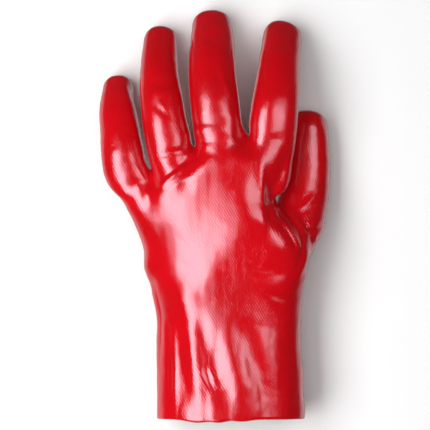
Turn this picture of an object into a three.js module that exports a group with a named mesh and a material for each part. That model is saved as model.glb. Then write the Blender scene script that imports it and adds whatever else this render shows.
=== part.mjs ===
// A PVC coated work glove for the left hand, lying on its palm with the cuff towards -Y.
// The real glove is a knitted cotton glove dipped whole in PVC, so it is one hollow wall: the cuff
// is open at the hem and runs on inside through the palm into four fingers and the thumb.
// Millimetres, +Z up, +Y towards the fingertips, origin under the middle of the glove.
import * as THREE from "three";

// Lengths along the glove
const CUFF_LENGTH = 92; // hem to wrist
const HAND_LENGTH = 96; // wrist to the web between the index and middle fingers
const THUMB_CROTCH = 46; // wrist to the crotch between thumb and hand
const PINKY_LENGTH = 61; // each finger from its web to its tip
const RING_LENGTH = 76;
const MIDDLE_LENGTH = 78;
const INDEX_LENGTH = 70;
const THUMB_LENGTH = 62; // crotch to tip

// Widths and depths
const CUFF_WIDTH = 96;
const CUFF_DEPTH = 56;
const PALM_WIDTH = 116;
const PALM_DEPTH = 40;
const PINKY_WIDTH = 28;
const RING_WIDTH = 29;
const MIDDLE_WIDTH = 32;
const INDEX_WIDTH = 31;
const THUMB_WIDTH = 34;
const FINGER_DEPTH = 25;
const THUMB_DEPTH = 28;

const KNUCKLE_HEIGHT = 60; // back of the hand over the surface that the glove lies on
const WALL = 1.4; // coat and knitted base together
const WEB_FILLET = 8; // rounding where the fingers leave the hand
const FINGER_FILLET = 2.5; // rounding between neighbouring fingers
const CROTCH_FILLET = 7; // rounding where the thumb leaves the hand
const FOLD_WIDTH = 6;
const FOLD_DEPTH = 2;
const HEM_WAVE = 2; // how far the cut hem wanders
const NOSE = 0.36; // length of a rounded fingertip, as a share of the finger's width
const FINGER_SQUARE = 2.3; // 2 is a round section, and more is squarer
const HAND_SQUARE = 2.3;
const FOLD_FADE_FROM = -4; // the back's folds start this far over the middle of its sides
const FOLD_FADE_TO = 6; // and have their whole depth from here up
const FOLD_END = 0.15; // how far round its own half wave a fold begins and ends

// Fineness of the mesh
const FINGER_COLUMNS = 6; // on the back of each finger, and as many on the palm side
const CUFF_ROWS = 20; // hem to thumb crotch
const PARTING_ROWS = 7; // of those, the last ones, over which the thumb's columns part from the hand's
const PALM_ROWS = 6; // thumb crotch to webs
const FINGER_ROWS = 16;
const TIP_ROWS = 4; // of those, the ones over the rounded tip
const EVENING_ROUNDS = 12;
const SETTLING_STEPS = 3; // the last steps that bring each point onto the skin
const PARTING_FROM = 0.2; // share of the way from the thumb's crotch to a web where columns start to part
const SPINE_STEPS = 28;
const FOLD_STEPS = 8;
const FAR = 40; // past this distance a finger's exact shape no longer matters
const SLOPE_STEP = 0.05; // step over which the skin's slope is measured
const LEAST_SLOPE = 0.25; // keeps a step towards the skin short where the slope is faint
const LONG_DIAGONAL = 1.15; // a face is split along its shorter diagonal, unless they are this near
const EVEN_WALL = 0.15; // how much the wall's inner face is evened out, beside its true thickness
const WEB_SPREAD = 1.12; // the webs lie this much wider than the section at the crotch
const ROW_BOW = 0.05; // how far the palm's rows bow into each finger, as a share of the hand
const WEB_MARGIN = 0.01; // how far past the hand's front the webs start, as a share of the hand
const THUMB_ROLL = 0.72 * Math.PI; // the thumb's first column, seen from its middle, faces the crotch

const WRIST = CUFF_LENGTH;
const CROTCH = WRIST + THUMB_CROTCH;
const UP = new THREE.Vector3(0, 0, 1);
const DEGREE = Math.PI / 180;

// A length along the glove, in shares of the hand above the wrist or of the cuff below it
const along = (share) => WRIST + share * (share > 0 ? HAND_LENGTH : CUFF_LENGTH);

// Sections of the cuff: at is the share of its length below the wrist, left and right the sides
// as shares of its width, top and deep the height and the depth as shares of its depth. Roll is
// in degrees, and tips the back towards the thumb, or with a minus towards the little finger.
const CUFF_SECTIONS = [
  { at: -1.1, left: -0.386, right: 0.618, top: 1, deep: 1.02, roll: 0 },
  { at: -1, left: -0.386, right: 0.618, top: 1, deep: 1.02, roll: 0 },
  { at: -0.72, left: -0.388, right: 0.611, top: 0.98, deep: 1, roll: 0 },
  { at: -0.44, left: -0.39, right: 0.598, top: 0.96, deep: 0.98, roll: -1 },
  { at: -0.28, left: -0.39, right: 0.6, top: 0.95, deep: 0.965, roll: -2 },
  { at: -0.12, left: -0.42, right: 0.602, top: 0.95, deep: 0.95, roll: -3 },
].map((row) => section(row, CUFF_WIDTH, CUFF_DEPTH, CUFF_DEPTH));

// Sections of the hand: at is the share of its length above the wrist, left and right the sides
// as shares of the palm's width, top the back's share of the knuckles' height, deep the depth.
const PALM_SECTIONS = [
  { at: 0.05, left: -0.382, right: 0.522, top: 0.887, deep: 1.28, roll: -5 },
  { at: 0.2, left: -0.4, right: 0.51, top: 0.925, deep: 1.245, roll: -6.5 },
  { at: 0.34, left: -0.435, right: 0.43, top: 0.963, deep: 1.16, roll: -7.5 },
  { at: 0.475, left: -0.475, right: 0.35, top: 0.988, deep: 1.07, roll: -8 },
  { at: 0.61, left: -0.52, right: 0.34, top: 1, deep: 1, roll: -7 },
  { at: 0.72, left: -0.55, right: 0.375, top: 0.995, deep: 0.94, roll: -5 },
  { at: 1, left: -0.56, right: 0.42, top: 0.95, deep: 0.825, roll: -2 },
].map((row) => section(row, PALM_WIDTH, KNUCKLE_HEIGHT, PALM_DEPTH));
const HAND_SECTIONS = [...CUFF_SECTIONS, ...PALM_SECTIONS];

// Where the hand ends between the fingers, from the little finger's side to the index's
const HAND_FRONT = [
  { across: -0.62, at: 0.54 },
  { across: -0.34, at: 0.68 },
  { across: -0.113, at: 0.86 },
  { across: 0.178, at: 0.95 },
  { across: 0.45, at: 0.9 },
].map(({ across, at }) => ({ x: across * PALM_WIDTH, y: along(at) }));
const HAND_NOSE = 0.38 * PALM_DEPTH;

// Each finger's root lies at a share of the hand's length, of the palm's width and of the
// knuckles' height, with its roll in degrees, as the hand's. In its table at is the share of its
// length from the web to the tip, side the share of its length that the spine lies off its root,
// high the share of its root's height, wide and deep the shares of its own width and depth,
// measured square to the spine.
const FINGERS = [
  finger({ length: PINKY_LENGTH, width: PINKY_WIDTH, web: 0.728, across: -0.493, rise: 0.6, roll: -3 }, [
    { at: -0.45, side: 0.34, high: 0.96, wide: 0.85, deep: 0.85 },
    { at: -0.2, side: 0.15, high: 1, wide: 0.95, deep: 0.93 },
    { at: 0, side: 0, high: 1, wide: 1.03, deep: 1 },
    { at: 0.21, side: -0.04, high: 0.945, wide: 1.01, deep: 1.02 },
    { at: 0.42, side: -0.066, high: 0.82, wide: 0.94, deep: 0.98 },
    { at: 0.62, side: -0.09, high: 0.63, wide: 0.87, deep: 0.92 },
    { at: 0.77, side: -0.1, high: 0.44, wide: 0.78, deep: 0.86 },
    { at: 0.87, side: -0.095, high: 0.29, wide: 0.72, deep: 0.78 },
  ]),
  finger({ length: RING_LENGTH, width: RING_WIDTH, web: 0.905, across: -0.25, rise: 0.7, roll: 0 }, [
    { at: -0.42, side: 0.08, high: 0.98, wide: 0.88, deep: 0.85 },
    { at: 0, side: 0, high: 1, wide: 1.03, deep: 1 },
    { at: 0.2, side: -0.042, high: 0.95, wide: 1, deep: 1.03 },
    { at: 0.375, side: -0.064, high: 0.86, wide: 0.97, deep: 1.02 },
    { at: 0.54, side: -0.084, high: 0.71, wide: 0.9, deep: 0.98 },
    { at: 0.71, side: -0.085, high: 0.52, wide: 0.85, deep: 0.92 },
    { at: 0.9, side: -0.08, high: 0.25, wide: 0.74, deep: 0.8 },
  ]),
  finger({ length: MIDDLE_LENGTH, width: MIDDLE_WIDTH, web: 0.994, across: 0.028, rise: 0.75, roll: 3 }, [
    { at: -0.42, side: 0.04, high: 0.96, wide: 0.88, deep: 0.85 },
    { at: 0, side: 0, high: 1, wide: 1.01, deep: 1.03 },
    { at: 0.26, side: -0.033, high: 0.945, wide: 1.01, deep: 1.06 },
    { at: 0.42, side: -0.049, high: 0.85, wide: 1, deep: 1.05 },
    { at: 0.58, side: -0.057, high: 0.7, wide: 0.96, deep: 1.01 },
    { at: 0.78, side: -0.053, high: 0.42, wide: 0.9, deep: 0.93 },
    { at: 0.89, side: -0.06, high: 0.245, wide: 0.8, deep: 0.85 },
  ]),
  finger({ length: INDEX_LENGTH, width: INDEX_WIDTH, web: 0.994, across: 0.333, rise: 0.725, roll: 14 }, [
    { at: -0.42, side: -0.03, high: 0.98, wide: 0.88, deep: 0.88 },
    { at: 0, side: 0, high: 1, wide: 1.03, deep: 1.02 },
    { at: 0.2, side: 0.018, high: 0.965, wide: 1.02, deep: 1.05 },
    { at: 0.38, side: 0.036, high: 0.875, wide: 0.95, deep: 1.03 },
    { at: 0.65, side: 0.064, high: 0.62, wide: 0.87, deep: 0.96 },
    { at: 0.8, side: 0.082, high: 0.42, wide: 0.83, deep: 0.9 },
    { at: 0.89, side: 0.092, high: 0.27, wide: 0.82, deep: 0.86 },
  ]),
];
const THUMB_ROOT = {
  length: THUMB_LENGTH,
  width: THUMB_WIDTH,
  depth: THUMB_DEPTH,
  web: THUMB_CROTCH / HAND_LENGTH,
  across: 0.49,
  rise: 0.34,
  roll: 0,
};
const THUMB = finger(THUMB_ROOT, [
  { at: -0.54, side: -0.24, high: 1.55, wide: 1, deep: 1.05 },
  { at: -0.34, side: -0.126, high: 1.38, wide: 1.04, deep: 1.06 },
  { at: -0.19, side: -0.05, high: 1.2, wide: 1.04, deep: 1.04 },
  { at: -0.03, side: -0.008, high: 1.02, wide: 1.03, deep: 1.02 },
  { at: 0.17, side: 0.035, high: 0.84, wide: 1, deep: 1 },
  { at: 0.42, side: 0.054, high: 0.71, wide: 0.97, deep: 0.98 },
  { at: 0.68, side: 0.066, high: 0.67, wide: 0.89, deep: 0.95 },
  { at: 0.84, side: 0.075, high: 0.63, wide: 0.8, deep: 0.9 },
]);

// Main folds and dents of the back. Each runs from one place over a second to a third, given as
// shares of the palm's width and of the hand's length above the wrist, or the cuff's below it.
// Wide is its spread as a share of a fold's width. Out is its rise as a share of a fold's depth,
// and a minus sinks it.
const FOLDS = [
  fold({ from: [-0.37, 0.48], over: [-0.36, 0.58], to: [-0.345, 0.7], wide: 0.83, out: -1 }),
  fold({ from: [-0.16, 0.64], over: [-0.15, 0.76], to: [-0.12, 0.88], wide: 0.83, out: -0.9 }),
  fold({ from: [0.13, 0.7], over: [0.15, 0.84], to: [0.17, 0.97], wide: 1, out: -1 }),
  fold({ from: [0.37, 0.76], over: [0.28, 0.62], to: [0.275, 0.48], wide: 1.1, out: -1.1 }),
  fold({ from: [0.275, 0.5], over: [0.4, 0.38], to: [0.48, 0.2], wide: 1, out: -0.8 }),
  fold({ from: [0.376, 0.54], over: [0.47, 0.38], to: [0.52, 0.18], wide: 0.8, out: 0.5 }),
  fold({ from: [0.3, 0.1], over: [0.4, 0.07], to: [0.5, 0.08], wide: 1, out: -0.75 }),
  fold({ from: [-0.12, -0.92], over: [-0.16, -0.6], to: [-0.2, -0.25], wide: 1.15, out: -0.8 }),
  fold({ from: [0.09, -0.95], over: [0.02, -0.65], to: [-0.06, -0.35], wide: 1.15, out: -0.75 }),
  fold({ from: [0.31, -0.95], over: [0.24, -0.65], to: [0.15, -0.35], wide: 1.15, out: -0.9 }),
];

// The hem's scallops along its back: middle and width as shares of the cuff's width
const SCALLOPS = [
  { at: -0.11, wide: 0.09, drop: 1 },
  { at: 0.04, wide: 0.06, drop: 0.9 },
  { at: 0.19, wide: 0.07, drop: 0.6 },
];

// One row of the hand's table: the middle's place, the half width, the half depth and the roll
function section({ at, left, right, top, deep, roll }, width, height, depth) {
  const half = ((right - left) / 2) * width;
  const thick = (deep / 2) * depth;
  const turn = roll * DEGREE;
  return { y: along(at), x: ((left + right) / 2) * width, z: top * height - thick, half, thick, turn };
}

// A finger from its root and its table, with its spine sampled along smooth curves
function finger({ length, width, depth = FINGER_DEPTH, web, across, rise, roll }, table) {
  const root = new THREE.Vector3(across * PALM_WIDTH, along(web), 0);
  const middle = new THREE.CatmullRomCurve3(
    table.map(({ at, side, high }) =>
      new THREE.Vector3(side * length, at * length, high * rise * KNUCKLE_HEIGHT).add(root)),
  );
  const girth = new THREE.CatmullRomCurve3(
    table.map(({ wide, deep }) => new THREE.Vector3((wide * width) / 2, (deep * depth) / 2, 0)),
  );
  const spine = Array.from({ length: SPINE_STEPS + 1 }, (unused, i) => {
    const ahead = middle.getTangent(i / SPINE_STEPS);
    const side = new THREE.Vector3().crossVectors(ahead, UP).normalize().applyAxisAngle(ahead, roll * DEGREE);
    const up = side.clone().cross(ahead);
    const { x: half, y: thick } = girth.getPoint(i / SPINE_STEPS);
    return { at: middle.getPoint(i / SPINE_STEPS), ahead, side, up, half, thick };
  });
  return { spine, line: spine.map((one) => one.at), nose: NOSE * width };
}

// A fold as a short bent line of points on the plan of the glove
function fold({ from, over, to, wide, out }) {
  const onPlan = ([across, at]) => new THREE.Vector3(across * PALM_WIDTH, along(at), 0);
  const [a, b, c] = [from, over, to].map(onPlan);
  const bend = b.multiplyScalar(2).sub(a.clone().add(c).multiplyScalar(0.5));
  const line = new THREE.QuadraticBezierCurve3(a, bend, c).getPoints(FOLD_STEPS);
  return { line, wide: wide * FOLD_WIDTH, out: out * FOLD_DEPTH };
}

// A smooth curve through a table's rows, read at y
function readRows(rows, y) {
  let i = 1;
  while (i < rows.length - 2 && rows[i + 1].y < y) i++;
  if (rows.length > 2 && y < rows[1].y) i = 0;
  const a = rows[i];
  const b = rows[i + 1];
  const before = rows[Math.max(i - 1, 0)];
  const after = rows[Math.min(i + 2, rows.length - 1)];
  const span = b.y - a.y;
  const t = THREE.MathUtils.clamp((y - a.y) / span, 0, 1);
  const at = {};
  for (const key of ["x", "z", "half", "thick", "turn"]) {
    const slopeA = ((b[key] - before[key]) / (b.y - before.y)) * span;
    const slopeB = ((after[key] - a[key]) / (after.y - a.y)) * span;
    const d = b[key] - a[key];
    at[key] = a[key] + t * (slopeA + t * (3 * d - 2 * slopeA - slopeB + t * (slopeA + slopeB - 2 * d)));
  }
  return at;
}

function frontOfHand(x) {
  const last = HAND_FRONT.length - 1;
  let i = 0;
  while (i < last - 1 && HAND_FRONT[i + 1].x < x) i++;
  const a = HAND_FRONT[i];
  const b = HAND_FRONT[i + 1];
  const t = THREE.MathUtils.clamp((x - a.x) / (b.x - a.x), 0, 1);
  return THREE.MathUtils.lerp(a.y, b.y, t);
}

// Signed distance, roughly, from a rounded form whose three shares of its radii are given
function roundDistance(shares, radii, square) {
  const n = shares.reduce((sum, share) => sum + share ** square, 1e-9) ** (1 / square);
  const slope = Math.hypot(...shares.map((share, i) => share ** (square - 1) / radii[i]));
  return ((n - 1) * n ** (square - 1)) / (slope + 1e-9);
}

function handDistance(p, { x, z, half, thick, turn }) {
  const ahead = Math.max(0, (p.y - frontOfHand(p.x) + HAND_NOSE) / HAND_NOSE);
  const side = (p.x - x) * Math.cos(turn) - (p.z - z) * Math.sin(turn);
  const up = (p.x - x) * Math.sin(turn) + (p.z - z) * Math.cos(turn);
  const shares = [Math.abs(side) / half, Math.abs(up) / thick, ahead];
  return roundDistance(shares, [half, thick, HAND_NOSE], HAND_SQUARE);
}

// The nearest place on a line of points: its segment, the share along that, and the distance squared
function nearestOn(line, p) {
  let nearest = { away: Infinity };
  for (let i = 0; i < line.length - 1; i++) {
    const [a, b] = [line[i], line[i + 1]];
    const [dx, dy, dz] = [b.x - a.x, b.y - a.y, b.z - a.z];
    const [px, py, pz] = [p.x - a.x, p.y - a.y, p.z - a.z];
    const t = THREE.MathUtils.clamp((px * dx + py * dy + pz * dz) / (dx * dx + dy * dy + dz * dz), 0, 1);
    const away = (px - t * dx) ** 2 + (py - t * dy) ** 2 + (pz - t * dz) ** 2;
    if (away < nearest.away) nearest = { away, i, t };
  }
  return nearest;
}

function fingerDistance(p, { spine, line, nose }) {
  const nearest = nearestOn(line, p);
  if (nearest.away > FAR * FAR) return Math.sqrt(nearest.away) - FAR / 2;
  const a = spine[nearest.i];
  const b = spine[nearest.i + 1];
  const mix = (key) => new THREE.Vector3().lerpVectors(a[key], b[key], nearest.t);
  const offset = p.clone().sub(mix("at"));
  const half = THREE.MathUtils.lerp(a.half, b.half, nearest.t);
  const thick = THREE.MathUtils.lerp(a.thick, b.thick, nearest.t);
  const ends = nearest.i + nearest.t <= 0 || nearest.i + nearest.t >= SPINE_STEPS;
  const shares = [
    Math.abs(offset.dot(mix("side"))) / half,
    Math.abs(offset.dot(mix("up"))) / thick,
    ends ? Math.abs(offset.dot(mix("ahead"))) / nose : 0,
  ];
  return roundDistance(shares, [half, thick, nose], FINGER_SQUARE);
}

function smoothMin(a, b, radius) {
  const h = Math.max(radius - Math.abs(a - b), 0) / radius;
  return Math.min(a, b) - (h * h * radius) / 4;
}

// How far the folds stand out of the back at p, fading at their ends
function foldsAt(p, mid) {
  const onBack = THREE.MathUtils.smoothstep(p.z - mid, FOLD_FADE_FROM, FOLD_FADE_TO);
  if (onBack === 0) return 0;
  let sum = 0;
  for (const { line, wide, out } of FOLDS) {
    const near = nearestOn(line, new THREE.Vector3(p.x, p.y, 0));
    const passed = THREE.MathUtils.lerp(FOLD_END, 1 - FOLD_END, (near.i + near.t) / FOLD_STEPS);
    sum += out * Math.exp(-near.away / (wide * wide)) * Math.sin(Math.PI * passed);
  }
  return onBack * sum;
}

// Signed distance from the whole outer skin
function gloveDistance(p) {
  const hand = readRows(HAND_SECTIONS, p.y);
  let fingers = Infinity;
  for (const one of FINGERS) fingers = smoothMin(fingers, fingerDistance(p, one), FINGER_FILLET);
  const back = smoothMin(handDistance(p, hand), fingers, WEB_FILLET) - foldsAt(p, hand.z);
  return smoothMin(back, fingerDistance(p, THUMB), CROTCH_FILLET);
}

// The way out of the skin at p, as long as the distance's slope there
function outward(p, here = gloveDistance(p)) {
  const slopes = [[1, 0, 0], [0, 1, 0], [0, 0, 1]].map((axis) => {
    const beside = new THREE.Vector3(...axis).multiplyScalar(SLOPE_STEP).add(p);
    return (gloveDistance(beside) - here) / SLOPE_STEP;
  });
  return new THREE.Vector3(...slopes);
}

// Moves p onto the skin. A point of the hem keeps its place along the glove.
function ontoSkin(p, onHem, steps) {
  for (let i = 0; i < steps; i++) {
    const here = gloveDistance(p);
    const g = outward(p, here);
    if (onHem) g.y = 0;
    p.addScaledVector(g, -here / Math.max(g.lengthSq(), LEAST_SLOPE));
  }
  return p;
}

// The mesh is two sheets, back and palm, of rows from hem to tips and columns from the little
// finger's side to the thumb's. The sheets share the columns at the sides, and they share each
// web's point, where one ring of columns parts into two.
const K = FINGER_COLUMNS;
const HAND_COLUMNS = 4 * K;
const ALL_COLUMNS = 5 * K;
const WEB_ROW = CUFF_ROWS + PALM_ROWS;

const webOf = (x) => frontOfHand(x) + WEB_MARGIN * HAND_LENGTH;
const ease = THREE.MathUtils.smoothstep;

function hemAt(x) {
  return SCALLOPS.reduce(
    (y, s) => y - HEM_WAVE * s.drop * Math.exp(-(((x / CUFF_WIDTH - s.at) / s.wide) ** 2)),
    0,
  );
}

// A point of the hand's section at y, some columns round from the little finger's side
function aroundHand(y, column, columns, side) {
  const at = readRows(HAND_SECTIONS, y);
  const angle = side * Math.PI * (1 - column / columns);
  const across = at.half * Math.cos(angle);
  const up = at.thick * Math.sin(angle);
  const [cos, sin] = [Math.cos(at.turn), Math.sin(at.turn)];
  return new THREE.Vector3(at.x + across * cos + up * sin, y, at.z + up * cos - across * sin);
}

// A point round a finger's spine, where the spine passes y, or past its end on the rounded tip
function aroundSpine({ spine, nose }, y, pastEnd, angle) {
  let i = spine.findIndex((one) => one.at.y >= y);
  if (i < 1) i = i === 0 ? 1 : SPINE_STEPS;
  const t = THREE.MathUtils.clamp((y - spine[i - 1].at.y) / (spine[i].at.y - spine[i - 1].at.y), 0, 1);
  const mix = (key) => new THREE.Vector3().lerpVectors(spine[i - 1][key], spine[i][key], t);
  const turn = (Math.PI / 2) * pastEnd;
  const { half, thick } = spine[i];
  return mix("at")
    .addScaledVector(mix("ahead"), nose * Math.sin(turn))
    .addScaledVector(mix("side"), half * Math.cos(turn) * Math.cos(angle))
    .addScaledVector(mix("up"), thick * Math.cos(turn) * Math.sin(angle));
}

const fingerAngle = (f, column, side) => side * Math.PI * (1 - (column - f * K) / K);
const thumbAngle = (column, side) => THUMB_ROLL - (side * Math.PI * (column - HAND_COLUMNS)) / K;
const aroundFinger = (f, y, column, side) => aroundSpine(FINGERS[f], y, 0, fingerAngle(f, column, side));
const aroundThumb = (y, column, side) => aroundSpine(THUMB, y, 0, thumbAngle(column, side));

// First place of a point of the cuff or palm, before it is moved onto the skin
function handSeed(row, column, side) {
  if (row <= CUFF_ROWS) {
    const y = (CROTCH * row) / CUFF_ROWS;
    const round = aroundHand(y, column, ALL_COLUMNS, side);
    const parted = new THREE.Vector3();
    if (column <= HAND_COLUMNS) parted.copy(aroundHand(y, column, HAND_COLUMNS, side));
    if (column > HAND_COLUMNS) parted.copy(aroundThumb(y, column, side));
    if (column === HAND_COLUMNS) parted.lerp(aroundThumb(y, column, side), 0.5);
    return round.lerp(parted, ease(row, CUFF_ROWS - PARTING_ROWS, CUFF_ROWS));
  }
  const f = Math.min(3, Math.floor(column / K));
  const past = (row - CUFF_ROWS) / PALM_ROWS;
  const web = webOf(aroundHand(CROTCH, column, HAND_COLUMNS, side).x * WEB_SPREAD);
  const bow = ROW_BOW * HAND_LENGTH * Math.sin((Math.PI * (column % K)) / K) * past;
  const y = THREE.MathUtils.lerp(CROTCH, web, past) + bow;
  const round = aroundHand(y, column, HAND_COLUMNS, side);
  const parted = aroundFinger(f, y, column, side);
  const onWeb = column % K === 0 && f > 0 && column < HAND_COLUMNS;
  if (onWeb) parted.lerp(aroundFinger(f - 1, y, column, side), 0.5);
  return round.lerp(parted, ease(past, PARTING_FROM, 1));
}

// First place of any point. Along a finger the rows run to the spine's end and on over its tip.
function seedOf(part, row, column, side) {
  const start = part === "thumb" ? CUFF_ROWS : WEB_ROW;
  if (part === "hand" || row <= start) return handSeed(row, column, side);
  const one = part === "thumb" ? THUMB : FINGERS[Number(part)];
  const angle = part === "thumb" ? thumbAngle(column, side) : fingerAngle(Number(part), column, side);
  const from = handSeed(start, column, side).y;
  const past = (row - start) / (FINGER_ROWS - TIP_ROWS);
  const to = one.spine[SPINE_STEPS].at.y;
  if (past <= 1) return aroundSpine(one, THREE.MathUtils.lerp(from, to, past), 0, angle);
  return aroundSpine(one, Infinity, (row - start - FINGER_ROWS + TIP_ROWS) / TIP_ROWS, angle);
}

function buildLattice() {
  const points = [];
  const known = new Map();
  const quads = [];
  const caps = [];
  const isEdge = (part, row, column) =>
    column === 0 ||
    column === ALL_COLUMNS ||
    (row >= CUFF_ROWS && column === HAND_COLUMNS) ||
    (row >= WEB_ROW && part !== "thumb" && column % K === 0);
  const pointAt = (part, row, column, side) => {
    const parts = part === "thumb" ? row > CUFF_ROWS : row > WEB_ROW;
    const key = [parts ? part : "hand", row, column, isEdge(part, row, column) ? 0 : side].join();
    if (!known.has(key)) {
      known.set(key, points.length);
      points.push({ p: seedOf(part, row, column, side), hem: row === 0 });
    }
    return known.get(key);
  };
  const addRows = (part, rows, columns) => {
    for (let row = rows[0]; row < rows[1]; row++)
      for (let column = columns[0]; column < columns[1]; column++)
        for (const side of [1, -1]) {
          const quad = [
            pointAt(part, row, column, side),
            pointAt(part, row, column + 1, side),
            pointAt(part, row + 1, column + 1, side),
            pointAt(part, row + 1, column, side),
          ];
          quads.push(side > 0 ? quad : quad.reverse());
        }
  };
  const addCap = (part, row, columns, tip) => {
    const top = points.length;
    points.push({ p: tip, hem: false });
    for (let column = columns[0]; column < columns[1]; column++)
      for (const side of [1, -1]) {
        const pair = [pointAt(part, row, column, side), pointAt(part, row, column + 1, side)];
        caps.push(side > 0 ? [...pair, top] : [...pair.reverse(), top]);
      }
  };
  addRows("hand", [0, CUFF_ROWS], [0, ALL_COLUMNS]);
  addRows("hand", [CUFF_ROWS, WEB_ROW], [0, HAND_COLUMNS]);
  FINGERS.forEach((one, f) => {
    const last = WEB_ROW + FINGER_ROWS - 1;
    addRows(String(f), [WEB_ROW, last], [f * K, (f + 1) * K]);
    addCap(String(f), last, [f * K, (f + 1) * K], aroundSpine(one, Infinity, 1, 0));
  });
  const last = CUFF_ROWS + FINGER_ROWS - 1;
  addRows("thumb", [CUFF_ROWS, last], [HAND_COLUMNS, ALL_COLUMNS]);
  addCap("thumb", last, [HAND_COLUMNS, ALL_COLUMNS], aroundSpine(THUMB, Infinity, 1, 0));
  return { points, quads, caps };
}

// Evens out the spacing of the points while they stay on the skin
function evenOut({ points, quads, caps }) {
  const near = points.map(() => new Set());
  for (const face of [...quads, ...caps])
    face.forEach((a, i) => {
      const b = face[(i + 1) % face.length];
      if (points[a].hem && !points[b].hem) return near[b].add(a);
      if (points[b].hem && !points[a].hem) return near[a].add(b);
      near[a].add(b);
      near[b].add(a);
    });
  for (let round = 0; round < EVENING_ROUNDS; round++) {
    const moved = points.map(({ p }, i) => {
      const middle = new THREE.Vector3();
      near[i].forEach((j) => middle.add(points[j].p));
      return p.clone().lerp(middle.divideScalar(near[i].size), 0.5);
    });
    moved.forEach((p, i) => points[i].p.copy(ontoSkin(p, points[i].hem, 1)));
  }
  for (const { p, hem } of points) ontoSkin(p, hem, SETTLING_STEPS);
}

// The outer skin's triangles, each quad split along its shorter diagonal
function skinTriangles({ points, quads, caps }) {
  const triangles = [...caps];
  for (const [a, b, c, d] of quads) {
    const across = points[a].p.distanceTo(points[c].p);
    const short = across < LONG_DIAGONAL * points[b].p.distanceTo(points[d].p);
    triangles.push(...(short ? [[a, b, c], [a, c, d]] : [[a, b, d], [b, c, d]]));
  }
  return triangles;
}

// The way into the wall from each point, so long that a step along it lies a length of one behind
// all the faces round the point, as nearly as one step can
function waysIn({ points }, triangles) {
  const sums = points.map(() => ({ squares: new Array(9).fill(0), way: new THREE.Vector3() }));
  for (const corners of triangles) {
    const face = new THREE.Triangle(...corners.map((i) => points[i].p));
    const normal = face.getNormal(new THREE.Vector3());
    const n = normal.toArray();
    for (const i of corners) {
      n.forEach((x, row) => n.forEach((y, column) => (sums[i].squares[3 * row + column] += x * y)));
      sums[i].way.add(normal);
    }
  }
  return sums.map(({ squares, way }) => {
    const even = way.clone().normalize().multiplyScalar(EVEN_WALL);
    const spread = new THREE.Matrix3().set(...squares.map((x, i) => x + (i % 4 === 0 ? EVEN_WALL : 0)));
    return way.add(even).applyMatrix3(spread.invert()).negate();
  });
}

// The wall as one closed geometry: the outer skin, the same skin a wall's thickness further in,
// and a strip round the hem. What would sink under the surface it lies on is flattened.
function wallGeometry(lattice) {
  const { points, quads } = lattice;
  for (const { p } of points) p.z = Math.max(p.z, 0);
  const triangles = skinTriangles(lattice);
  const ways = waysIn(lattice, triangles);
  const outer = points.map(({ p }) => p);
  const inner = points.map(({ p, hem }, i) => {
    if (hem) ways[i].y = 0;
    const q = p.clone().addScaledVector(ways[i], WALL);
    if (hem) q.y = p.y = hemAt(p.x);
    q.z = Math.max(q.z, WALL);
    return q;
  });
  const count = outer.length;
  const index = [];
  for (const [a, b, c] of triangles) index.push(a, b, c, a + count, c + count, b + count);
  for (const quad of quads)
    quad.forEach((a, i) => {
      const b = quad[(i + 1) % 4];
      if (points[a].hem && points[b].hem) index.push(b, a, a + count, b, a + count, b + count);
    });
  const geometry = new THREE.BufferGeometry();
  geometry.setFromPoints([...outer, ...inner]);
  geometry.setIndex(index);
  geometry.computeVertexNormals();
  return geometry;
}

// Brings the glove's middle over the origin, with its lowest point at zero
function restOnOrigin(geometry) {
  geometry.computeBoundingBox();
  const { min, max } = geometry.boundingBox;
  return geometry.translate(-(min.x + max.x) / 2, -(min.y + max.y) / 2, -min.z);
}

const coatedPvc = new THREE.MeshStandardMaterial({
  name: "coated_pvc",
  color: 0xc8101a,
  roughness: 0.28,
  metalness: 0,
});

const lattice = buildLattice();
evenOut(lattice);
const glove = new THREE.Mesh(restOnOrigin(wallGeometry(lattice)), coatedPvc);
glove.name = "glove";

const part = new THREE.Group();
part.add(glove);

export default part;
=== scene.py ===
"""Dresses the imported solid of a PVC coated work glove.

The file is laid out as a Blender add-on. Its panel in the 3D view's sidebar lists the steps, one
for the glove and one for the stage, with their sizes and colours. Run as a script, it takes the
steps in order. Lengths are metres unless a comment says millimetres. +Z is up, +Y points from the
cuff to the fingertips and +X to the thumb, and the glove lies on the plane z = 0.
"""

from math import cos, pi, radians, sin, tan

import bmesh
import bpy
import numpy as np
from bpy.props import FloatProperty, FloatVectorProperty, IntProperty, PointerProperty
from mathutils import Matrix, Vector
from mathutils.bvhtree import BVHTree


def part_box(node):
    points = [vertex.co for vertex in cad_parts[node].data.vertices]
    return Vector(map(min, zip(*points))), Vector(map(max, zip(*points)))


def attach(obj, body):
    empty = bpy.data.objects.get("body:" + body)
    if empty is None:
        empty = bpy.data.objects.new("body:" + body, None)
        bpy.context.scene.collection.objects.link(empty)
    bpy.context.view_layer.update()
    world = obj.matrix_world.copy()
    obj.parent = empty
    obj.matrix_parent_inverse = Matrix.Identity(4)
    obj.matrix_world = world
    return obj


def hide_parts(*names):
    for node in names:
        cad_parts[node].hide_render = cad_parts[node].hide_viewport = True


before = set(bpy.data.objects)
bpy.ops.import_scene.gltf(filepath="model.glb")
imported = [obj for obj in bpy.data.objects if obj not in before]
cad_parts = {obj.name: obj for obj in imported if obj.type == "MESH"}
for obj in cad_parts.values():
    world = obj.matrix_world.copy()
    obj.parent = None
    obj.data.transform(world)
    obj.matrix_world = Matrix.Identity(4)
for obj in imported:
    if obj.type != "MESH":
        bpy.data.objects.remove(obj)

bl_info = {
    "name": "PVC Coated Work Glove",
    "version": (1, 0, 0),
    "blender": (4, 5, 0),
    "location": "3D View > Sidebar > Glove",
    "description": "Builds the soft surface, folds and finishes of a red PVC coated work glove",
    "category": "Mesh",
}

NODE = "glove"
MM = 0.001


# Sizes and colours that a user may change


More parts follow.
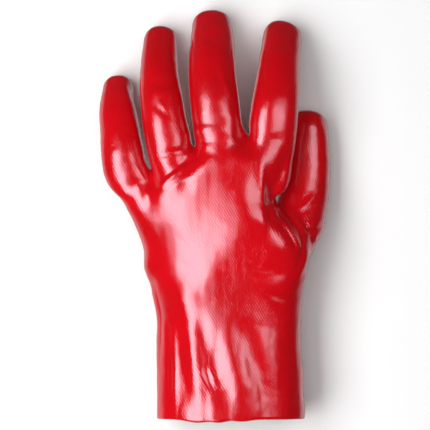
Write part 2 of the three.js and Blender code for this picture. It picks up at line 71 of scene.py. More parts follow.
class GloveShape(bpy.types.PropertyGroup):
    """Sizes of the glove's wall, mesh and folds"""

    wall: FloatProperty(
        name="Wall",
        description="Thickness of the coat and the knit together",
        default=1.4 * MM,
        min=0.5 * MM,
        max=3 * MM,
        subtype="DISTANCE",
        unit="LENGTH",
    )
    levels: IntProperty(
        name="Subdivision",
        description="How many times each face of the solid is halved both ways",
        default=2,
        min=1,
        max=2,
    )
    fold_strength: FloatProperty(
        name="Folds",
        description="How deep the creases and dents are, as a share of the real glove's",
        default=1.0,
        min=0.0,
        max=2.0,
        subtype="FACTOR",
    )
    ripple: FloatProperty(
        name="Ripple",
        description="Height of the soft unevenness that dipping leaves all over",
        default=0.16 * MM,
        min=0.0,
        max=1 * MM,
        subtype="DISTANCE",
        unit="LENGTH",
    )


class GloveFinish(bpy.types.PropertyGroup):
    """Colours and textures of the coat and the knit"""

    coat_color: FloatVectorProperty(
        name="Coat",
        description="Colour of the PVC",
        default=(0.60, 0.002, 0.007),
        min=0.0,
        max=1.0,
        subtype="COLOR",
    )
    deep_color: FloatVectorProperty(
        name="Coat where thick",
        description="Colour of the PVC where it ran together in the dip",
        default=(0.53, 0.0015, 0.005),
        min=0.0,
        max=1.0,
        subtype="COLOR",
    )
    knit_color: FloatVectorProperty(
        name="Knit",
        description="Colour of the cotton inside",
        default=(0.86, 0.76, 0.58),
        min=0.0,
        max=1.0,
        subtype="COLOR",
    )
    knit_pitch: FloatProperty(
        name="Knit pitch",
        description="Spacing of the knit's ribs, which show through the coat",
        default=1.5 * MM,
        min=0.3 * MM,
        max=4 * MM,
        subtype="DISTANCE",
        unit="LENGTH",
    )
    knit_height: FloatProperty(
        name="Knit height",
        description="Height of the ribs that show through the coat",
        default=0.05 * MM,
        min=0.0,
        max=0.5 * MM,
        subtype="DISTANCE",
        unit="LENGTH",
    )


class GloveStage(bpy.types.PropertyGroup):
    """Camera, floor and light"""

    floor_color: FloatVectorProperty(
        name="Floor",
        description="Colour of the plain floor",
        default=(0.88, 0.88, 0.88),
        min=0.0,
        max=1.0,
        subtype="COLOR",
    )
    view_width: FloatProperty(
        name="View width",
        description="Width of what the camera sees at the height of the glove",
        default=0.2821,
        min=0.05,
        max=2.0,
        subtype="DISTANCE",
        unit="LENGTH",
    )
    camera_height: FloatProperty(
        name="Camera height",
        description="Height of the camera over the floor",
        default=4.0,
        min=1.0,
        max=10.0,
        subtype="DISTANCE",
        unit="LENGTH",
    )
    softbox_radiance: FloatProperty(
        name="Softboxes",
        description="Brightness of the softbox on the little finger's side",
        default=5.8,
        min=0.0,
        max=50.0,
    )
    weak_share: FloatProperty(
        name="Weaker softbox",
        description="Brightness of the softbox on the thumb's side, as a share of the other's",
        default=0.45,
        min=0.0,
        max=2.0,
        subtype="FACTOR",
    )
    fill_radiance: FloatProperty(
        name="Fill",
        description="Brightness of the soft light beside the camera",
        default=3.0,
        min=0.0,
        max=50.0,
    )


# Folds of the back of the glove, in millimetres on the plan, as seen from above. A crease runs
# from one place through a second to a third. Width is its half width, rise its height over the
# skin, or with a minus its depth, and lip the share of that height that swells up beside it.


def crease(start, middle, end, width, rise, lip=0.35):
    """A crease, or with a rise over the skin a ridge."""
    return {"points": (start, middle, end), "width": width, "rise": rise, "lip": lip}


def mound(at, radii, turn, rise):
    """A swelling, or with a minus a dent: its middle, two radii, turn in degrees and height."""
    return {"at": at, "radii": radii, "turn": turn, "rise": rise}


def swelling(at, radii, rise):
    """A mound with its place and radii in space, so that it shapes the glove's sides too."""
    return {"centre": at, "radii": radii, "rise": rise}


FINGER_CREASES = [
    crease((-41.0, 73.1), (-35.8, 68.6), (-30.5, 64.0), 1.4, -0.80),
    crease((-32.5, 83.0), (-27.9, 85.6), (-22.0, 84.3), 1.6, -0.55),
    crease((-44.0, 82.0), (-38.0, 86.5), (-32.0, 88.0), 2.2, -0.50),
    crease((-44.3, 37.7), (-31.8, 39.7), (-16.1, 43.0), 2.0, -0.80),
    crease((-16.5, 57.8), (-5.0, 60.8), (9.5, 58.6), 3.1, -1.10, 0.15),
    crease((-16.0, 46.5), (-4.5, 49.5), (9.0, 47.5), 3.2, -1.00, 0.10),
    crease((-60.0, 15.0), (-54.0, 19.5), (-47.0, 22.0), 3.4, -0.60, 0.1),
    crease((30.0, 46.0), (38.0, 49.0), (46.0, 50.0), 3.2, -0.50, 0.1),
    crease((3.0, 97.4), (6.2, 88.2), (9.5, 78.4), 1.6, 0.50, 0.6),
    crease((-14.1, 119.1), (-2.3, 116.4), (10.8, 120.4), 2.6, -0.45),
    crease((45.6, 59.4), (50.2, 54.8), (55.4, 50.2), 0.9, -0.40),
    crease((44.9, 54.8), (48.9, 50.2), (53.5, 45.6), 0.9, -0.35),
    crease((32.5, 112.5), (44.9, 110.5), (57.4, 111.8), 2.4, -0.40),
    crease((-71.8, 41.7), (-67.9, 43.6), (-64.0, 46.2), 0.9, -0.45, 0.8),
    crease((-57.4, 88.9), (-54.8, 83.0), (-52.2, 75.8), 2.0, -0.70),
    crease((54.1, 4.3), (61.3, 8.2), (67.2, 16.1), 1.7, 0.55, 0.6),
]
HAND_CREASES = [
    crease((-35.8, 18.0), (-27.9, 25.3), (-16.1, 33.8), 1.3, 0.65, 0.8),
    crease((-30.5, 17.4), (-23.3, 23.3), (-14.1, 29.8), 1.0, -0.40),
    crease((20.7, -31.2), (28.5, -35.1), (39.7, -35.1), 1.2, -0.35, 0.8),
    crease((37.1, -50.2), (44.9, -54.1), (54.1, -53.5), 2.2, -0.80),
    crease((-26.6, -12.1), (-20.7, -17.4), (-14.1, -22.6), 0.8, -0.16, 0.8),
]
CROTCH_CREASES = [
    crease((49.5, 42.3), (39.0, 16.1), (31.2, 1.6), 4.0, -1.60, 0.2),
    crease((54.0, 48.8), (48.0, 30.0), (43.6, 11.5), 2.0, 0.70, 0.0),
    crease((38.4, -1.6), (47.6, -8.2), (55.4, -21.3), 1.2, 1.10, 0.6),
    crease((43.6, 9.5), (54.8, -4.9), (59.4, -16.7), 1.6, 1.10, 0.4),
    crease((59.4, -15.4), (59.4, -28.5), (54.1, -39.7), 1.8, 0.80, 0.4),
    crease((56.7, -6.2), (64.6, -10.2), (71.8, -4.3), 1.3, -1.00, 0.4),
    crease((64.6, -9.5), (63.3, -15.4), (65.3, -20.7), 1.2, -0.90, 0.4),
]
CUFF_CREASES = [
    crease((-30.5, -70.5), (-29.2, -102.0), (-29.2, -132.8), 1.6, -0.50, 0.5),
    crease((-6.9, -98.7), (-4.6, -106.0), (-1.0, -114.0), 1.8, -0.70, 0.4),
]
# Swells, hollows and ridges that the knuckles, the thumb's heel, the wrist and the cuff have
BROAD_FORMS = [
    mound((27.0, 6.0), (16.0, 21.0), 0, 3.0),  # under the middle and index knuckles
    mound((-20.0, -54.0), (9.0, 10.0), 0, 1.9),  # the wrist's back
    mound((16.0, -104.0), (24.0, 30.0), 0, 2.4),  # the cuff's back
    mound((47.0, -15.0), (9.0, 11.0), 0, 1.0),  # beside the thumb's crotch
    mound((47.0, -36.0), (15.0, 26.0), 0, 3.2),  # the thumb's heel
    crease((18.0, 0.3), (-1.6, -37.7), (-9.5, -56.0), 10.0, 0.9, 0.0),  # down to the wrist
    crease((15.0, 24.0), (17.4, 39.4), (19.7, 52.0), 6.0, 1.3, 0.0),  # between two knuckles
    mound((-38.0, -62.0), (12.0, 30.0), 0, -2.4),  # the wrist's edge
    mound((-31.0, -112.0), (7.0, 40.0), 0, -0.8),  # the cuff's edge
    crease((31.0, 34.0), (29.2, 14.8), (30.5, -8.0), 3.0, 1.7, 0.0),  # down the index knuckle
    crease((26.0, 9.0), (42.5, -1.5), (56.5, -23.0), 3.4, 2.0, 0.0),  # round the thumb's heel
    crease((-17.5, -66.0), (-13.8, -97.0), (-12.4, -130.0), 5.6, 2.0, 0.0),  # down the cuff
]
MOUNDS = [
    mound((-37.7, 80.4), (4.0, 3.4), 0, 0.5),
    mound((-29.2, 79.0), (3.6, 3.2), 0, 0.4),
    mound((-6.9, 107.9), (4.2, 5.5), 0, 0.35),
    mound((4.9, 107.9), (3.2, 5.0), 0, 0.35),
    mound((-65.0, 54.4), (3.6, 4.6), -20, 0.4),
    mound((10.8, 63.3), (2.0, 2.6), 0, 0.3),
    mound((72.5, 61.3), (3.6, 6.0), 20, -0.8),
    mound((-44.9, -35.1), (4.0, 7.0), 0, 0.5),
]

# Bumps and notches of the sides, with their places in space
SIDES = [
    swelling((-44.9, -34.0, 26.0), (4.0, 6.0, 12.0), 1.0),
    swelling((-41.5, -46.0, 26.0), (4.0, 4.5, 12.0), -0.5),
    swelling((64.0, -19.0, 20.0), (4.0, 2.0, 9.0), -2.0),
    swelling((65.0, -23.6, 20.0), (4.0, 2.6, 9.0), 0.9),
    swelling((60.5, -36.0, 20.0), (4.0, 4.0, 9.0), 0.7),
    swelling((58.0, -44.0, 22.0), (4.0, 4.0, 9.0), -0.5),
    swelling((-25.0, 108.0, 30.0), (3.0, 10.0, 10.0), -0.9),
    swelling((-28.0, 119.0, 22.0), (4.0, 3.5, 8.0), 0.6),
    swelling((-53.0, 84.0, 22.0), (3.0, 7.0, 8.0), -0.8),
    swelling((59.0, 113.0, 22.0), (3.0, 4.0, 8.0), 0.7),
    swelling((-15.5, 112.0, 24.0), (3.0, 4.0, 9.0), -0.7),
    swelling((57.5, -128.0, 25.0), (4.0, 5.0, 14.0), 0.9),
]

# Folds of the palm side, as seen from above through the glove
PALM_CREASES = [
    crease((-70.0, 40.0), (-60.0, 43.0), (-49.0, 38.0), 1.6, -0.6),
    crease((-73.0, 62.0), (-63.0, 64.0), (-52.0, 62.0), 1.6, -0.6),
    crease((-47.0, 54.0), (-35.0, 57.0), (-22.0, 53.0), 1.7, -0.7),
    crease((-48.0, 84.0), (-36.0, 86.0), (-23.0, 84.0), 1.7, -0.6),
    crease((-15.0, 66.0), (-1.0, 69.0), (13.0, 65.0), 1.8, -0.7),
    crease((-17.0, 96.0), (-2.0, 98.0), (13.0, 96.0), 1.7, -0.6),
    crease((26.0, 62.0), (39.0, 65.0), (54.0, 62.0), 1.7, -0.7),
    crease((29.0, 90.0), (43.0, 92.0), (57.0, 90.0), 1.7, -0.6),
    crease((48.0, 28.0), (60.0, 26.0), (74.0, 30.0), 1.7, -0.6),
    crease((-50.0, 14.0), (-20.0, 22.0), (14.0, 12.0), 2.2, -0.8),
    crease((-40.0, -4.0), (-8.0, 4.0), (26.0, 16.0), 2.2, -0.7),
    crease((24.0, 12.0), (16.0, -12.0), (22.0, -34.0), 2.6, -0.9),
    crease((-34.0, -40.0), (4.0, -45.0), (48.0, -40.0), 2.4, -0.7),
    crease((-30.0, -47.0), (6.0, -52.0), (44.0, -48.0), 1.8, -0.5),
]

# The coat's soft unevenness. Lengths are the waves' own along x, y and z in millimetres, share is
# their height as a share of the ripple setting, and seed starts the draw that turns them.
RIPPLES = [
    {"lengths": (24, 24, 24), "share": 0.7, "on_cuff_only": False, "seed": 3},
    {"lengths": (8, 8, 8), "share": 0.26, "on_cuff_only": False, "seed": 5},
    {"lengths": (10, 60, 10), "share": 0.8, "on_cuff_only": True, "seed": 7},
    {"lengths": (5, 9, 5), "share": 0.22, "on_cuff_only": True, "seed": 11},
]
CUFF_STREAKS_FROM = -60 * MM  # the streaks begin at this y and have their whole height
CUFF_STREAKS_FADE = 22 * MM  # this much nearer the hem
WAVE_SPREAD = (0.75, 1.4)  # least and most waves in one of the lengths above

LIP_OFFSET = 1.9  # a crease's lips stand this many half widths off its line
LIP_WIDTH = 0.8  # and are this many half widths wide
END_FADE = 0.08  # share of half a wave at which a crease begins and ends
LIFT = 0.3 * MM  # a ray that asks what covers a corner starts this far off the skin
FULL_SLOPE = 0.35  # a side counts in full where its normal rises this much
LYING = 0.05 * MM  # what is nearer than this to the plane z = 0 lies on it
HEM_ROUND = 0.25  # how far the cut edge stands out, as a share of the wall


# Geometry


def polyline(points, steps=14):
    """Places along the smooth bend through three points of the plan, in metres."""
    a, b, c = (np.array(p) * MM for p in points)
    pull = 2 * b - (a + c) / 2
    t = np.linspace(0, 1, steps + 1)[:, None]
    return (1 - t) ** 2 * a + 2 * t * (1 - t) * pull + t**2 * c


def off_line(plan, line):
    """How far each place of the plan is off the line, and the share of the line passed there."""
    away = np.full(len(plan), np.inf)
    passed = np.zeros(len(plan))
    last = len(line) - 1
    for i in range(last):
        step = line[i + 1] - line[i]
        t = np.clip((plan - line[i]) @ step / (step @ step), 0, 1)
        d = np.linalg.norm(plan - line[i] - t[:, None] * step, axis=1)
        near = d < away
        away[near] = d[near]
        passed[near] = (i + t[near]) / last
    return away, passed


def outer_cage(node):
    """The solid's outer skin, open at the hem, as corners and faces, mostly with four sides."""
    weld = 0.001 * MM
    hem_band = 3.5 * MM
    tip_fan = 12
    bm = bmesh.new()
    bm.from_mesh(node.data)
    bmesh.ops.remove_doubles(bm, verts=bm.verts, dist=weld)
    hem = min(v.co.y for v in bm.verts) + hem_band
    strip = [f for f in bm.faces if all(v.co.y < hem for v in f.verts)]
    bmesh.ops.delete(bm, geom=strip, context="FACES")
    skin = {max(bm.verts, key=lambda v: v.co.z)}
    front = list(skin)
    while front:
        front = [e.other_vert(v) for v in front for e in v.link_edges]
        front = [v for v in set(front) if v not in skin]
        skin.update(front)
    bmesh.ops.delete(bm, geom=[v for v in bm.verts if v not in skin], context="VERTS")
    fans = {f for v in bm.verts if len(v.link_faces) == tip_fan for f in v.link_faces}
    pairs = [f for f in bm.faces if f not in fans]
    bmesh.ops.join_triangles(bm, faces=pairs, angle_face_threshold=pi, angle_shape_threshold=pi)
    bm.verts.index_update()
    corners = np.array([v.co for v in bm.verts])
    faces = [[v.index for v in f.verts] for f in bm.faces]
    bm.free()
    return corners, faces


def read_corners(mesh):
    flat = np.empty(len(mesh.vertices) * 3, np.float32)
    mesh.vertices.foreach_get("co", flat)
    return flat.reshape(-1, 3).astype(float)


def write_corners(mesh, corners):
    mesh.vertices.foreach_set("co", corners.astype(np.float32).ravel())
    mesh.update()


def smooth_skin(corners, faces, levels, rounds=4):
    """A subdivision surface that passes through the corners: its own corners and faces."""
    mesh = bpy.data.meshes.new("cage")
    mesh.from_pydata(corners, [], faces)
    cage = bpy.data.objects.new("cage", mesh)
    bpy.context.scene.collection.objects.link(cage)
    modifier = cage.modifiers.new("smooth", "SUBSURF")
    modifier.levels = modifier.render_levels = levels
    pulled = corners.copy()
    for turn in range(rounds):
        write_corners(mesh, pulled)
        bpy.context.view_layer.update()
        fine = bpy.data.meshes.new_from_object(
            cage.evaluated_get(bpy.context.evaluated_depsgraph_get())
        )
        result = read_corners(fine)
        if turn < rounds - 1:
            pulled += corners - result[: len(corners)]
            bpy.data.meshes.remove(fine)
    quads = [list(p.vertices) for p in fine.polygons]
    bpy.data.meshes.remove(fine)
    bpy.data.objects.remove(cage)
    bpy.data.meshes.remove(mesh)
    return result, quads


class Skin:
    """A skin of quads whose corners are moved by code."""

    def __init__(self, corners, quads):
        self.corners = corners
        self.quads = np.array(quads)
        sides = np.concatenate([self.quads[:, [i, (i + 1) % 4]] for i in range(4)])
        self.edges, counts = np.unique(np.sort(sides, axis=1), axis=0, return_counts=True)
        self.rim = self.edges[counts == 1]
        self.ends = np.bincount(self.edges.ravel(), minlength=len(corners))

    def normals(self):
        a, b, c, d = (self.corners[self.quads[:, i]] for i in range(4))
        across = np.cross(c - a, d - b)
        sums = np.zeros_like(self.corners)
        for i in range(4):
            for axis in range(3):
                sums[:, axis] += np.bincount(
                    self.quads[:, i], across[:, axis], minlength=len(self.corners)
                )
        return sums / np.linalg.norm(sums, axis=1, keepdims=True)

    def smoothed(self, values, rounds):
        """Values at the corners, evened out along the edges."""
        flat = values.reshape(len(values), -1).astype(float)
        for _ in range(rounds):
            sums = np.zeros_like(flat)
            for k in range(flat.shape[1]):
                for i, j in ((0, 1), (1, 0)):
                    sums[:, k] += np.bincount(
                        self.edges[:, i], flat[self.edges[:, j], k], minlength=len(flat)
                    )
            flat = (flat + sums / self.ends[:, None]) / 2
        return flat.reshape(values.shape)

    def seen(self, side):
        """1 where nothing of the skin lies over a corner (side 1) or under it (side -1)."""
        tree = BVHTree.FromPolygons([Vector(c) for c in self.corners], self.quads.tolist())
        normals = self.normals()
        start = self.corners + normals * LIFT
        way = Vector((0, 0, side))
        clear = np.array([tree.ray_cast(Vector(p), way)[0] is None for p in start], float)
        facing = np.clip(side * normals[:, 2] / FULL_SLOPE, 0, 1)
        return self.smoothed(clear * facing, rounds=2)

    def press(self, rows, mask, strength):
        """Presses creases and mounds into the skin along its normals."""
        plan = self.corners[:, :2]
        height = np.zeros(len(plan))
        for row in rows:
            if "points" in row:
                away, passed = off_line(plan, polyline(row["points"]))
                share = away / (row["width"] * MM)
                lips = row["lip"] * np.exp(-(((share - LIP_OFFSET) / LIP_WIDTH) ** 2))
                fade = np.sin(pi * (END_FADE + (1 - 2 * END_FADE) * passed))
                height += row["rise"] * MM * fade * (np.exp(-(share**2)) - lips)
            elif "centre" in row:
                off = (self.corners / MM - np.array(row["centre"])) / np.array(row["radii"])
                height += row["rise"] * MM * np.exp(-np.sum(off**2, axis=1))
            else:
                turn = radians(row["turn"])
                off = plan - np.array(row["at"]) * MM
                across = (off[:, 0] * cos(turn) + off[:, 1] * sin(turn)) / (row["radii"][0] * MM)
                along = (off[:, 1] * cos(turn) - off[:, 0] * sin(turn)) / (row["radii"][1] * MM)
                height += row["rise"] * MM * np.exp(-(across**2) - along**2)
        self.corners += self.normals() * (strength * mask * height)[:, None]


def unevenness(corners, lengths, seed, waves=16):
    """Irregular waves, mostly between -1 and 1, with their lengths along x, y and z in mm."""
    draw = np.random.default_rng(seed)
    ways = draw.normal(size=(waves, 3))
    ways *= draw.uniform(*WAVE_SPREAD, (waves, 1)) / np.linalg.norm(ways, axis=1, keepdims=True)
    phases = draw.uniform(0, 2 * pi, waves)
    turns = corners / (np.array(lengths) * MM) @ ways.T
    return np.sin(2 * pi * turns + phases).sum(axis=1) / np.sqrt(waves)


def ripples(corners, height):
    """The dipped coat's soft unevenness, with long streaks and fine crumples on the cuff."""
    cuff = np.clip((CUFF_STREAKS_FROM - corners[:, 1]) / CUFF_STREAKS_FADE, 0, 1)
    total = np.zeros(len(corners))
    for row in RIPPLES:
        share = row["share"] * (cuff if row["on_cuff_only"] else 1.0)
        total += share * unevenness(corners, row["lengths"], row["seed"])
    return height * total


def glove_skin(shape):
    """The glove's outer skin with its folds."""
    corners, faces = outer_cage(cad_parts[NODE])
    skin = Skin(*smooth_skin(corners, faces, shape.levels))
    flat = skin.corners[:, 2] < LYING
    above, below = skin.seen(1), skin.seen(-1)
    skin.press(BROAD_FORMS, above, strength=1.0)
    skin.press(SIDES, 1.0, shape.fold_strength)
    back = FINGER_CREASES + HAND_CREASES + CROTCH_CREASES + CUFF_CREASES + MOUNDS
    skin.press(back, above, shape.fold_strength)
    skin.press(PALM_CREASES, below, shape.fold_strength)
    skin.corners += skin.normals() * ripples(skin.corners, shape.ripple)[:, None]
    skin.corners[flat, 2] = 0
    skin.corners[:, 2] = np.maximum(skin.corners[:, 2], 0)
    return skin


def inner_corners(skin, wall):
    """The same skin a wall's thickness further in, and never under the wall that it lies on."""
    inner = skin.corners - skin.smoothed(skin.normals(), rounds=2) * wall
    rim = np.unique(skin.rim)
    inner[rim, 1] = skin.corners[rim, 1]
    inner[:, 2] = np.maximum(inner[:, 2], wall)
    return inner


def closed_glove(skin, wall):
    """The coat, the knit and the cut edge between them as one closed mesh."""
    count = len(skin.corners)
    rim_index = {v: 2 * count + i for i, v in enumerate(np.unique(skin.rim).tolist())}
    inner = inner_corners(skin, wall)
    rim = np.array(list(rim_index))
    edge = (skin.corners[rim] + inner[rim]) / 2
    edge[:, 1] -= HEM_ROUND * wall
    following = {}
    for a, b, c, d in skin.quads.tolist():
        following.update({(a, b): 1, (b, c): 1, (c, d): 1, (d, a): 1})
    coat = skin.quads.tolist()
    knit = [[v + count for v in reversed(q)] for q in coat]
    cut = []
    for a, b in skin.rim.tolist():
        if (a, b) not in following:
            a, b = b, a
        cut.append([b, a, rim_index[a], rim_index[b]])
        cut.append([rim_index[b], rim_index[a], a + count, b + count])
    mesh = bpy.data.meshes.new("work_glove")
    mesh.from_pydata(np.concatenate([skin.corners, inner, edge]), [], coat + knit + cut)
    slots = [0] * len(coat) + [1] * len(knit) + [2] * len(cut)
    mesh.polygons.foreach_set("material_index", slots)
    mesh.shade_smooth()
    mesh.update()
    return mesh


# Shader maths


class Wire:
    """One output of a node. Python's operators on it add Math nodes."""

    def __init__(self, shader, socket):
        self.shader = shader
        self.socket = socket

    def math(self, operation, *others):
        values = dict(enumerate([self, *others]))
        return self.shader.node("ShaderNodeMath", {"operation": operation}, values)

    def __add__(self, other):
        return self.math("ADD", other)

    def __sub__(self, other):
        return self.math("SUBTRACT", other)

    def __rsub__(self, other):
        return self.shader.node("ShaderNodeMath", {"operation": "SUBTRACT"}, {0: other, 1: self})

    def __mul__(self, other):
        return self.math("MULTIPLY", other)

    def __abs__(self):
        return self.math("ABSOLUTE")

    __radd__ = __add__
    __rmul__ = __mul__

    def sine(self):
        return self.math("SINE")

    def ramp(self, low, high):
        """0 under low, 1 over high and smooth between."""
        settings = {"interpolation_type": "SMOOTHSTEP"}
        values = {"Value": self, "From Min": low, "From Max": high}
        return self.shader.node("ShaderNodeMapRange", settings, values)


class Shader:
    """The nodes of a material or a world under construction."""

    def __init__(self, tree):
        self.tree = tree
        tree.nodes.clear()

    def node(self, kind, settings=None, values=None, out=0):
        """Adds a node: its settings first, then the values or links of its sockets."""
        node = self.tree.nodes.new(kind)
        for name, value in (settings or {}).items():
            setattr(node, name, value)
        for name, value in (values or {}).items():
            socket = node.inputs[name]
            if isinstance(value, Wire):
                self.tree.links.new(value.socket, socket)
            else:
                socket.default_value = value
        return Wire(self, node.outputs[out])

    def mix(self, share, a, b):
        """A colour between a and b."""
        values = {0: share, 6: rgba(a), 7: rgba(b)}
        return self.node("ShaderNodeMix", {"data_type": "RGBA"}, values, 2)

    def noise(self, where, scale, detail=2.0, roughness=0.5):
        """Cloudy noise between 0 and 1, with scale its cells to a metre."""
        values = {"Vector": where, "Scale": scale, "Detail": detail, "Roughness": roughness}
        return self.node("ShaderNodeTexNoise", {}, values)

    def spots(self, where, scale):
        """The distance to the nearest of many scattered points, with scale as for noise."""
        return self.node("ShaderNodeTexVoronoi", {}, {"Vector": where, "Scale": scale})

    def place(self):
        return self.node("ShaderNodeTexCoord", {}, {}, "Object")

    def parts(self, vector):
        """The three parts of a vector."""
        split = self.node("ShaderNodeSeparateXYZ", {}, {0: vector}).socket.node
        return [Wire(self, one) for one in split.outputs]

    def bump(self, height, distance, after=None):
        """A normal bent by a height, of which 1 stands for the distance."""
        values = {"Height": height, "Distance": distance, "Strength": 1.0}
        if after:
            values["Normal"] = after
        return self.node("ShaderNodeBump", {}, values)

    def surface(self, shown, output="ShaderNodeOutputMaterial"):
        end = self.tree.nodes.new(output)
        self.tree.links.new(shown.socket, end.inputs["Surface"])

    def finish(self, **values):
        """Adds the surface shader: under_scores stand for the spaces in its sockets' names."""
        values = {name.replace("_", " "): value for name, value in values.items()}
        self.surface(self.node("ShaderNodeBsdfPrincipled", {}, values))


def new_material(name):
    material = bpy.data.materials.new(name)
    material.use_nodes = True
    return material, Shader(material.node_tree)


def rgba(color):
    return color if isinstance(color, Wire) else (*color, 1.0)


KNIT_LEAN = (0.86, 0.5)  # the ribs' two directions lean this much across and along
KNIT_SHARES = (0.34, 0.16)  # heights of the ribs that lean left and right


def knit_relief(shader, where, pitch):
    """Height of a fine knit, 0 to 1, laid over whichever way the surface faces."""
    x, y, z = shader.parts(where)
    facing = shader.node("ShaderNodeNewGeometry", {}, {}, "Normal")
    side, _, up = (abs(part) for part in shader.parts(facing))
    turn = 2 * pi / pitch

    def ribs(across, along):
        left = ((across * KNIT_LEAN[0] + along * KNIT_LEAN[1]) * turn).sine()
        right = ((across * KNIT_LEAN[0] - along * KNIT_LEAN[1]) * turn).sine()
        return left * KNIT_SHARES[0] + right * KNIT_SHARES[1] + 0.5

    from_above = ribs(x, y)
    from_side = ribs(z, y)
    on_side = (side - up).ramp(-0.2, 0.2)
    return from_above + (from_side - from_above) * on_side


def coat_material(finish):
    """Wet-look PVC over a fine knit: glossy, slightly uneven, with specks and small scuffs."""
    speck_color = (0.16, 0.002, 0.004)
    speck_share = 0.45
    speck_height = 0.3
    wave_height = 0.08 * MM
    grain_height = 0.11 * MM
    material, shader = new_material("coated_pvc")
    where = shader.place()
    cloud = shader.noise(where, scale=26.0, detail=3.0).ramp(0.35, 0.68)
    specks = 1 - shader.spots(where, scale=420.0).ramp(0.05, 0.13)
    specks = specks * shader.noise(where, scale=190.0, detail=0.0).ramp(0.60, 0.68)
    color = shader.mix(cloud, finish.coat_color, finish.deep_color)
    color = shader.mix(specks * speck_share, color, speck_color)
    scuffs = shader.noise(where, scale=75.0, detail=4.0, roughness=0.7).ramp(0.52, 0.75)
    grain = shader.noise(where, scale=850.0, roughness=0.7)
    pits = (1 - grain).ramp(0.5, 0.66)
    fingers = shader.parts(where)[1].ramp(0.03, 0.07)
    dull = 0.08 + 0.03 * cloud + 0.05 * scuffs + 0.1 * pits + 0.04 * fingers
    uneven = shader.noise(where, scale=160.0)
    knit = knit_relief(shader, where, finish.knit_pitch)
    waves = shader.bump(uneven, wave_height)
    ribs = shader.bump(knit, finish.knit_height, waves)
    shader.finish(
        Base_Color=color,
        Roughness=dull,
        Normal=shader.bump(grain + specks * speck_height, grain_height, ribs),
        IOR=1.54,
        Specular_IOR_Level=1.0,
        Specular_Tint=(1.0, 0.84, 1.0, 1.0),
        Coat_Weight=0.35,
        Coat_Roughness=0.06,
        Coat_IOR=1.5,
    )
    return material


def knit_material(finish):
    """The cotton base inside the glove, with faint patches where the coat's red shows through."""
    groove_shade_share = 0.72
    soaked_color = (0.62, 0.30, 0.26)
    soaked_share = 0.35
    stitch_height = 0.25 * MM
    material, shader = new_material("cotton_knit")
    where = shader.place()
    relief = knit_relief(shader, where, finish.knit_pitch)
    fluff = shader.noise(where, scale=900.0, detail=3.0, roughness=0.7)
    soaked = shader.noise(where, scale=30.0).ramp(0.45, 0.8)
    # Painted shade: the knit's colour darkens towards the grooves between its ribs, as if they
    # lay in shade
    shade = tuple(groove_shade_share * c for c in finish.knit_color)
    color = shader.mix(relief, shade, finish.knit_color)
    color = shader.mix(soaked * soaked_share, color, soaked_color)
    shader.finish(
        Base_Color=color,
        Roughness=0.86 + 0.1 * fluff,
        Normal=shader.bump(relief + 0.5 * fluff, stitch_height),
        Sheen_Weight=0.25,
        Sheen_Roughness=0.5,
    )
    return material


def edge_material(finish):
    """The cut hem: the red coat's section with threads of the knit in it."""
    thread_share = 0.5
    thread_height = 0.08 * MM
    material, shader = new_material("cut_edge")
    where = shader.place()
    threads = shader.noise(where, scale=1100.0, roughness=0.6).ramp(0.45, 0.6)
    pale = tuple(0.8 * c for c in finish.knit_color)
    color = shader.mix(threads * thread_share, finish.coat_color, pale)
    shader.finish(
        Base_Color=color,
        Roughness=0.45 + 0.3 * threads,
        Normal=shader.bump(threads, thread_height),
    )
    return material


def floor_material(color):
    """A plain matt floor, very faintly mottled."""
    darkest = 0.985
    material, shader = new_material("pale_floor")
    grain = shader.noise(shader.place(), scale=40.0)
    shade = tuple(darkest * c for c in color)
    shader.finish(
        Base_Color=shader.mix(grain, shade, color),
        Roughness=0.9,
        Specular_IOR_Level=0.1,
    )
    return material


# Steps


class GLOVE_OT_dress(bpy.types.Operator):
    """Builds the soft glove in place of its plain solid"""

    bl_idname = "glove.dress"
    bl_label = "Dress the glove"

    def execute(self, context):
        shape = context.scene.glove_shape
        finish = context.scene.glove_finish
        mesh = closed_glove(glove_skin(shape), shape.wall)
        for material in (coat_material(finish), knit_material(finish), edge_material(finish)):
            mesh.materials.append(material)
        glove = bpy.data.objects.new("work_glove", mesh)
        context.scene.collection.objects.link(glove)
        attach(glove, "root")
        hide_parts(NODE)
        return {"FINISHED"}


def softbox(scene, name, across, along, height, radiance):
    """A level softbox. Across and along hold the angles off straight up, in degrees, at which
    the glove sees its edges towards -X and +X and towards -Y and +Y."""
    left, right = (height * tan(radians(angle)) for angle in across)
    back, front = (height * tan(radians(angle)) for angle in along)
    light = bpy.data.lights.new(name, "AREA")
    light.shape = "RECTANGLE"
    light.size = right - left
    light.size_y = front - back
    light.energy = radiance * pi * light.size * light.size_y
    ob = bpy.data.objects.new(name, light)
    ob.location = ((left + right) / 2, (back + front) / 2, height)
    ob.visible_camera = False
    scene.collection.objects.link(ob)
    return ob


def studio_world(scene):
    """A dark room with a pale table below and a brighter card low on either side. Here z goes
    from -1 straight down to 0 at eye level."""
    room_light = 0.02
    side_light = 0.6
    table_light = 0.25
    world = bpy.data.worlds.new("studio")
    world.use_nodes = True
    shader = Shader(world.node_tree)
    x, y, z = shader.parts(shader.node("ShaderNodeTexCoord", {}, {}, "Generated"))
    beside = abs(x).ramp(0.3, 0.5) * (1 - abs(y).ramp(0.3, 0.6))
    low = z.ramp(-0.97, -0.85) * (1 - z.ramp(-0.5, -0.25))
    table = 1 - z.ramp(-0.95, -0.6)
    strength = room_light + side_light * beside * low + table_light * table
    values = {"Color": (1, 1, 1, 1), "Strength": strength}
    shader.surface(shader.node("ShaderNodeBackground", {}, values), "ShaderNodeOutputWorld")
    scene.world = world


FLOOR_HALF = 6.0  # half the floor's side
SOFTBOX_HEIGHT = 1.0
FILL_HEIGHT = 3.6


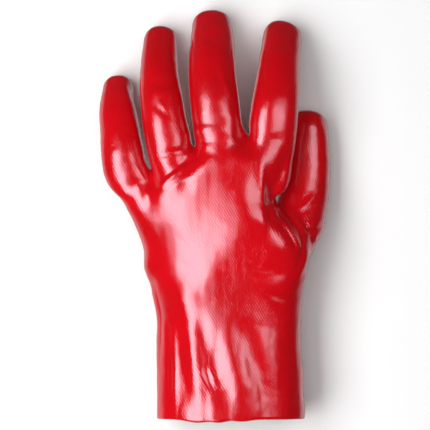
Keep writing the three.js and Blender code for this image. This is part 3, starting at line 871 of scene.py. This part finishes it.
class GLOVE_OT_stage(bpy.types.Operator):
    """Adds the floor, the light and the camera"""

    bl_idname = "glove.stage"
    bl_label = "Set the stage"

    def execute(self, context):
        scene = context.scene
        stage = scene.glove_stage
        floor_mesh = bpy.data.meshes.new("floor")
        half = FLOOR_HALF
        corners = [(-half, -half, 0), (half, -half, 0), (half, half, 0), (-half, half, 0)]
        floor_mesh.from_pydata(corners, [], [(0, 1, 2, 3)])
        floor_mesh.materials.append(floor_material(stage.floor_color))
        floor = bpy.data.objects.new("floor", floor_mesh)
        floor.visible_glossy = False
        scene.collection.objects.link(floor)

        lowest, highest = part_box(NODE)
        camera = bpy.data.cameras.new("camera")
        half_view = stage.view_width / 2
        distance = stage.camera_height - highest.z / 2
        camera.lens = camera.sensor_width / 2 / (half_view / distance)
        camera.clip_end = 4 * stage.camera_height
        eye = bpy.data.objects.new("camera", camera)
        middle = (lowest + highest) / 2
        eye.location = (middle.x, middle.y, stage.camera_height)
        scene.collection.objects.link(eye)
        scene.camera = eye

        key = stage.softbox_radiance
        weak = stage.weak_share * key
        softbox(scene, "softbox_little_finger_side", (-48, -15), (-46, 25), SOFTBOX_HEIGHT, key)
        softbox(scene, "softbox_thumb_side", (17, 44), (-2, 28), SOFTBOX_HEIGHT, weak)
        fill = softbox(scene, "fill", (-14, 14), (-14, 14), FILL_HEIGHT, stage.fill_radiance)
        fill.visible_glossy = False
        studio_world(scene)
        scene.view_settings.view_transform = "Standard"
        return {"FINISHED"}


class GLOVE_PT_panel(bpy.types.Panel):
    """The glove's settings and steps"""

    bl_idname = "GLOVE_PT_panel"
    bl_label = "Work glove"
    bl_space_type = "VIEW_3D"
    bl_region_type = "UI"
    bl_category = "Glove"

    def draw(self, context):
        groups = (
            (context.scene.glove_shape, ("wall", "levels", "fold_strength", "ripple")),
            (
                context.scene.glove_finish,
                ("coat_color", "deep_color", "knit_color", "knit_pitch", "knit_height"),
            ),
            (
                context.scene.glove_stage,
                (
                    "floor_color",
                    "view_width",
                    "camera_height",
                    "softbox_radiance",
                    "weak_share",
                    "fill_radiance",
                ),
            ),
        )
        for settings, names in groups:
            box = self.layout.box()
            for name in names:
                box.prop(settings, name)
        for step in STEPS:
            self.layout.operator(step.bl_idname)


STEPS = (GLOVE_OT_dress, GLOVE_OT_stage)
GROUPS = {"glove_shape": GloveShape, "glove_finish": GloveFinish, "glove_stage": GloveStage}


def register():
    for group in GROUPS.values():
        bpy.utils.register_class(group)
    for step in (*STEPS, GLOVE_PT_panel):
        bpy.utils.register_class(step)
    for name, group in GROUPS.items():
        setattr(bpy.types.Scene, name, PointerProperty(type=group))


def unregister():
    for name in GROUPS:
        delattr(bpy.types.Scene, name)
    for step in (GLOVE_PT_panel, *reversed(STEPS)):
        bpy.utils.unregister_class(step)
    for group in reversed(GROUPS.values()):
        bpy.utils.unregister_class(group)


def main():
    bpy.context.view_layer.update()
    register()
    bpy.ops.glove.dress()
    bpy.ops.glove.stage()


if __name__ == "__main__":
    main()
